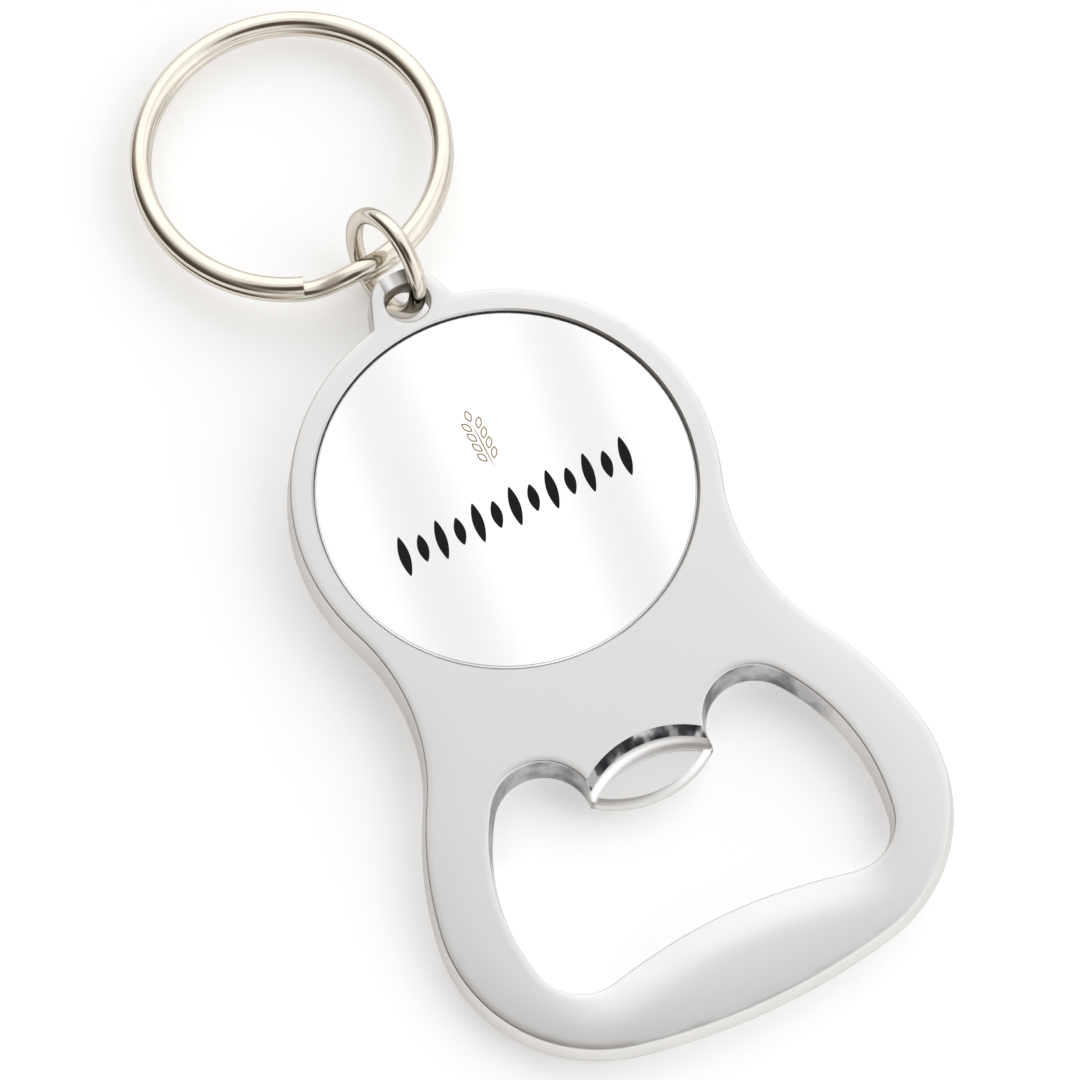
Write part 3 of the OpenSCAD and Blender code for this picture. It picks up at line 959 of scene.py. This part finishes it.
# %% Mask of the hole's wall
flat_place = tree.nodes.new("ShaderNodeCombineXYZ")
link_nodes(tree, split_place.outputs["X"], flat_place.inputs["X"])
link_nodes(tree, split_place.outputs["Y"], flat_place.inputs["Y"])
from_lug = tree.nodes.new("ShaderNodeVectorMath")
from_lug.operation = "DISTANCE"
from_lug.inputs[1].default_value = (0, LUG_Y * MM, 0)
link_nodes(tree, flat_place.outputs["Vector"], from_lug.inputs[0])
near_hole = band_mask(tree, from_lug.outputs["Value"], HOLE_FAR, HOLE_NEAR)
hole_wall = product(tree, upright, near_hole)
print("hole's mask ends", round(HOLE_FAR / MM, 2), "mm from its axis")

# %% [markdown]
# The walls' painted reflections and the hole's painted shade are broken up by two patterns: ripples, and
# streaks drawn out along the height of the step's wall.

# %% Colours of the body
RIPPLE_SCALE, RIPPLE_DETAIL = 420.0, 3.0
STREAK_SCALE, STREAK_DETAIL, STREAK_SQUEEZE = 620.0, 2.0, 0.05
PLATE = [(0.0, (0.680, 0.675, 0.667)), (1.0, (0.730, 0.726, 0.718))]
# Painted reflection: upright walls and the lip's slope are painted lighter, as if they mirrored the bright
# floor.
PAINTED_WALL_REFLECTION = [(0.0, (0.90, 0.895, 0.885)), (1.0, (0.96, 0.955, 0.945))]
# Painted reflection: the lobes' walls that face the mouth are painted dark grey, broken up by ripples.
LOBE_PAINTED_REFLECTION = [(0.36, (0.24, 0.24, 0.25)), (0.60, (0.70, 0.70, 0.71))]
# Painted reflection: the step's wall is painted near black, with lighter streaks.
STEP_PAINTED_REFLECTION = [(0.44, (0.035, 0.035, 0.042)), (0.55, (0.13, 0.13, 0.14)), (0.62, (0.60, 0.60, 0.62))]
# Painted shade: the wall of the lug's hole is painted dark, broken up by ripples.
HOLE_PAINTED_SHADE = [(0.36, (0.10, 0.09, 0.08)), (0.60, (0.36, 0.34, 0.31))]
GRAZING_TINT = (0.55, 0.54, 0.52, 1)

streak_place = tree.nodes.new("ShaderNodeMapping")
streak_place.inputs["Scale"].default_value = (1, 1, STREAK_SQUEEZE)
link_nodes(tree, place.outputs["Object"], streak_place.inputs["Vector"])
ripple = noise(tree, place.outputs["Object"], RIPPLE_SCALE, RIPPLE_DETAIL)
streaks = noise(tree, streak_place.outputs["Vector"], STREAK_SCALE, STREAK_DETAIL)
plate = shades(tree, grain_node.outputs["Cloud"], PLATE)
painted_wall_reflection = shades(tree, grain_node.outputs["Cloud"], PAINTED_WALL_REFLECTION)
any_slope = combine(tree, "MAXIMUM", upright, lip_slope)
# The plate's own tone is mixed with the walls' painted reflections and the hole's painted shade.
plate_and_painted_light = colour_mix(tree, any_slope, plate, painted_wall_reflection)
plate_and_painted_light = colour_mix(tree, lobe_wall, plate_and_painted_light, shades(tree, ripple, LOBE_PAINTED_REFLECTION))
plate_and_painted_light = colour_mix(tree, step_wall, plate_and_painted_light, shades(tree, streaks, STEP_PAINTED_REFLECTION))
plate_and_painted_light = colour_mix(tree, hole_wall, plate_and_painted_light, shades(tree, ripple, HOLE_PAINTED_SHADE))
link_nodes(tree, plate_and_painted_light, shader.inputs["Base Color"])
shader.inputs["Specular Tint"].default_value = GRAZING_TINT
print("body's finish has", len(tree.nodes), "nodes with its colours")

# %% [markdown]
# Satin scatters light and a bare wall mirrors it, so the same masks set how rough the body is.

# %% Roughness and grain of the body
SATIN_LOW, SATIN_HIGH, WALL_ROUGH = 0.34, 0.46, 0.14
SATIN_GRAIN, SATIN_BUMP = 0.004, 0.35
any_wall = combine(tree, "MAXIMUM", combine(tree, "MAXIMUM", lobe_wall, step_wall), hole_wall)
rough_mix = tree.nodes.new("ShaderNodeMix")
rough_mix.inputs["B"].default_value = WALL_ROUGH
link_nodes(tree, any_wall, rough_mix.inputs["Factor"])
link_nodes(tree, spread(tree, grain_node.outputs["Cloud"], SATIN_LOW, SATIN_HIGH), rough_mix.inputs["A"])
link_nodes(tree, rough_mix.outputs["Result"], shader.inputs["Roughness"])
bump(tree, grain_node.outputs["Grain"], SATIN_GRAIN * MM, SATIN_BUMP, shader)
wear(satin, [body])

# %% [markdown]
# ## The badge and its pad
# The badge is polished along one direction. Its colour is painted with soft bright and dim bands, a painted
# reflection that stands in for how the polish spreads light. The bands are laid across the disc by its own
# coordinates, so the disc's width is one unit of the pattern.

# %% Polished badge
BAND_TURN, BADGE_W = 7.4, 29
PAINTED_BRIGHT_BAND, PAINTED_DIM_BAND = grey(0.98), grey(0.775)
PAINTED_REFLECTION_BANDS = [(0.02, PAINTED_BRIGHT_BAND), (0.25, PAINTED_DIM_BAND), (0.52, PAINTED_BRIGHT_BAND), (0.76, PAINTED_DIM_BAND), (0.96, PAINTED_BRIGHT_BAND)]
POLISH_STRETCH, POLISH_GRAIN, POLISH_BUMP = 0.02, 0.001, 0.15
polish, tree, shader, place, grain_node = new_finish("polished_badge_face")
grain_node.inputs["Stretch"].default_value = POLISH_STRETCH
turned = tree.nodes.new("ShaderNodeMapping")
turned.inputs["Rotation"].default_value = (0, 0, math.radians(BAND_TURN))
turned.inputs["Scale"].default_value = (1 / (BADGE_W * MM),) * 3
turned.inputs["Location"].default_value = (0.5, 0.5, 0)
link_nodes(tree, place.outputs["Object"], turned.inputs["Vector"])
split = separate(tree, turned.outputs["Vector"])
# The base colour is the painted reflection bands.
link_nodes(tree, shades(tree, split.outputs["X"], PAINTED_REFLECTION_BANDS, "EASE"), shader.inputs["Base Color"])
link_nodes(tree, spread(tree, grain_node.outputs["Cloud"], 0.16, 0.26), shader.inputs["Roughness"])
bump(tree, grain_node.outputs["Grain"], POLISH_GRAIN * MM, POLISH_BUMP, shader)
wear(polish, [frame["nodes"]["badge_disc"]])

# %% [markdown]
# The pad under the badge is dark foam. It hardly shows, but it gets a finish with some detail too.

# %% Foam pad
FOAM = [(0.3, grey(0.03)), (0.7, grey(0.08))]
FOAM_SCALE, FOAM_GRAIN, FOAM_BUMP = 5000.0, 0.03, 0.6
foam, tree, shader, place, grain_node = new_finish("foam_pad", metallic=0.0)
grain_node.inputs["Fine Scale"].default_value = FOAM_SCALE
link_nodes(tree, shades(tree, grain_node.outputs["Grain"], FOAM), shader.inputs["Base Color"])
link_nodes(tree, spread(tree, grain_node.outputs["Cloud"], 0.8, 0.95), shader.inputs["Roughness"])
bump(tree, grain_node.outputs["Grain"], FOAM_GRAIN * MM, FOAM_BUMP, shader)
wear(foam, [frame["nodes"]["adhesive_pad"]])

# %% [markdown]
# ## The wire
# The wire is polished nickel, warmer than chrome. Where it curves away from the viewer its colour is
# painted dark brown at the edges, a painted reflection of the dark side of the room. The Layer Weight node
# gives that turn.

# %% Nickel wire
BARE_NICKEL = [(0.3, (0.68, 0.63, 0.545)), (0.7, (0.76, 0.715, 0.63))]
# Painted reflection: the wire's edges that turn away from the viewer are painted dark brown.
PAINTED_DARK_EDGE = [(0.3, (0.20, 0.17, 0.13)), (0.7, (0.28, 0.24, 0.19))]
EDGE_FROM, EDGE_TO = 0.50, 0.88
NICKEL_CLOUD, NICKEL_WAVES, NICKEL_BUMP = 350.0, 0.02, 0.2
nickel, tree, shader, place, grain_node = new_finish("polished_nickel_wire")
grain_node.inputs["Cloud Scale"].default_value = NICKEL_CLOUD
bare = shades(tree, grain_node.outputs["Cloud"], BARE_NICKEL)
painted_dark_edge = shades(tree, grain_node.outputs["Cloud"], PAINTED_DARK_EDGE)
edge = tree.nodes.new("ShaderNodeLayerWeight")
edge.inputs["Blend"].default_value = 0.5
turned_away = band_mask(tree, edge.outputs["Facing"], EDGE_FROM, EDGE_TO)
link_nodes(tree, colour_mix(tree, turned_away, bare, painted_dark_edge), shader.inputs["Base Color"])
link_nodes(tree, spread(tree, grain_node.outputs["Cloud"], 0.07, 0.17), shader.inputs["Roughness"])
bump(tree, grain_node.outputs["Cloud"], NICKEL_WAVES * MM, NICKEL_BUMP, shader)
wear(nickel, [link, ring])

# %% [markdown]
# ## The inks
# Both inks are dull, with a fine mottle, so the polished disc round them stays the brightest thing.

# %% Printing inks
INK_ROUGH_LOW, INK_ROUGH_HIGH, INK_SHINE = 0.45, 0.6, 0.1
DARK_INK = [(0.3, grey(0.006)), (0.7, grey(0.014))]
GOLD_INK = [(0.3, (0.30, 0.19, 0.07)), (0.7, (0.38, 0.25, 0.10))]
INKS = [("dark_print_ink", DARK_INK, dark_print), ("gold_print_ink", GOLD_INK, gold_print)]
for name, stops, piece in INKS:
    ink, tree, shader, place, grain_node = new_finish(name, metallic=0.0)
    rough = spread(tree, grain_node.outputs["Cloud"], INK_ROUGH_LOW, INK_ROUGH_HIGH)
    link_nodes(tree, shades(tree, grain_node.outputs["Grain"], stops), shader.inputs["Base Color"])
    link_nodes(tree, rough, shader.inputs["Roughness"])
    shader.inputs["Specular IOR Level"].default_value = INK_SHINE
    wear(ink, [piece])

# %% [markdown]
# ## Floor
# A plain pale floor lies just under the lowest pieces. The link reaches below the back, so the opener rests
# on its lower edge and the link, and the floor is tipped by that small angle to meet both.

# %% Floor
FLOOR_HALF, FLOOR_GAP, FLOOR_GLOW = 1.5, 0.05, 0.26
PAPER = [(0.0, grey(0.93)), (1.0, grey(0.95))]
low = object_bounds()[0]
tip = math.atan2(-link_low.z, link_centre.y - low.y)
deselect()
bpy.ops.mesh.primitive_plane_add(size=2 * FLOOR_HALF, location=(0, low.y, -FLOOR_GAP * MM),
                                 rotation=(-tip, 0, 0))
floor = bpy.context.object
floor.name = "floor"
floor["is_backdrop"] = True
paper, tree, shader, place, grain_node = new_finish("pale_floor", metallic=0.0)
link_nodes(tree, shades(tree, grain_node.outputs["Cloud"], PAPER), shader.inputs["Base Color"])
shader.inputs["Roughness"].default_value = 0.9
shader.inputs["Emission Color"].default_value = (1, 1, 1, 1)
shader.inputs["Emission Strength"].default_value = FLOOR_GLOW
wear(paper, [floor])
print("floor is tipped by", round(math.degrees(tip), 2), "degrees")

# %% [markdown]
# ## Light
# The light is a soft studio dome that runs from a dark side to a bright one, with a dark patch where the
# viewer stands. Polished wire needs them both: metal in an all-white room has no shape. The dome's colour
# follows how far each direction leans towards the bright side.

# %% Studio dome
DOME_STRENGTH = 1.16
BRIGHT_SIDE = (0.97, -0.10, 0.0)
DOME_STOPS = [(0.01, (0.06, 0.045, 0.035)), (0.16, (0.10, 0.08, 0.065)), (0.27, (0.40, 0.37, 0.34)),
              (0.38, grey(0.86)), (0.52, grey(0.92)), (0.67, grey(0.97)), (0.82, grey(1.25)),
              (0.90, grey(1.10)), (0.96, grey(0.70)), (0.99, grey(0.50))]
world = bpy.data.worlds.new("studio_dome")
bpy.context.scene.world = world
world.use_nodes = True
tree = world.node_tree
dome = tree.nodes["Background"]
dome.inputs["Strength"].default_value = DOME_STRENGTH
way = tree.nodes.new("ShaderNodeTexCoord")


def lean_towards(direction):
    """How far the dome's direction leans towards another: 1 along it, -1 against it."""
    node = tree.nodes.new("ShaderNodeVectorMath")
    node.operation = "DOT_PRODUCT"
    node.inputs[1].default_value = direction
    link_nodes(tree, way.outputs["Generated"], node.inputs[0])
    return node.outputs["Value"]


side = tree.nodes.new("ShaderNodeMapRange")
side.inputs["From Min"].default_value = -1.0
link_nodes(tree, lean_towards(BRIGHT_SIDE), side.inputs["Value"])
glow = shades(tree, side.outputs["Result"], DOME_STOPS)
print("dome runs through", len(DOME_STOPS), "tones")

# %% [markdown]
# The dark patch is a cone of directions round the one the viewer looks from, with a soft rim.

# %% Dark patch by the viewer
PATCH_CORE, PATCH_EDGE = 14.0, 30.0
PATCH_COLOUR = (0.10, 0.075, 0.06, 1)
to_viewer = lean_towards((camera.location - CAMERA_AIM).normalized())
near_patch = band_mask(tree, to_viewer, math.cos(math.radians(PATCH_EDGE)),
                       math.cos(math.radians(PATCH_CORE)))
darken = tree.nodes.new("ShaderNodeMix")
darken.data_type = "RGBA"
darken.inputs["B"].default_value = PATCH_COLOUR
link_nodes(tree, near_patch, darken.inputs["Factor"])
link_nodes(tree, glow, darken.inputs["A"])
link_nodes(tree, darken.outputs["Result"], dome.inputs["Color"])
print("patch fades out", PATCH_EDGE, "degrees from the viewer")

# %% [markdown]
# A wide, weak sun adds the one soft shadow. Its angle makes it as broad as a large lamp close by.

# %% Soft key light
SUN_ENERGY, SUN_ANGLE, SUN_FROM = 0.33, 60, (0.35, 1.10, 0.80)
sun_data = bpy.data.lights.new("soft_key", "SUN")
sun_data.energy = SUN_ENERGY
sun_data.angle = math.radians(SUN_ANGLE)
sun = bpy.data.objects.new("soft_key", sun_data)
bpy.context.scene.collection.objects.link(sun)
sun.rotation_euler = Vector(SUN_FROM).to_track_quat("Z", "Y").to_euler()
bpy.context.scene.view_settings.view_transform = "Standard"
print("key light comes from", SUN_FROM)

# %% [markdown]
# ## Sizes
# Both boxes are printed: the CAD box and the box of the visual model. The visual model
# may not outgrow the frame.

# %% Print both boxes
made_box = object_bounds()
for name, (a, b) in (("CAD", cad_box), ("visual", made_box)):
    print(name, "box in mm", [round(c / MM, 3) for c in (*a, *b)])
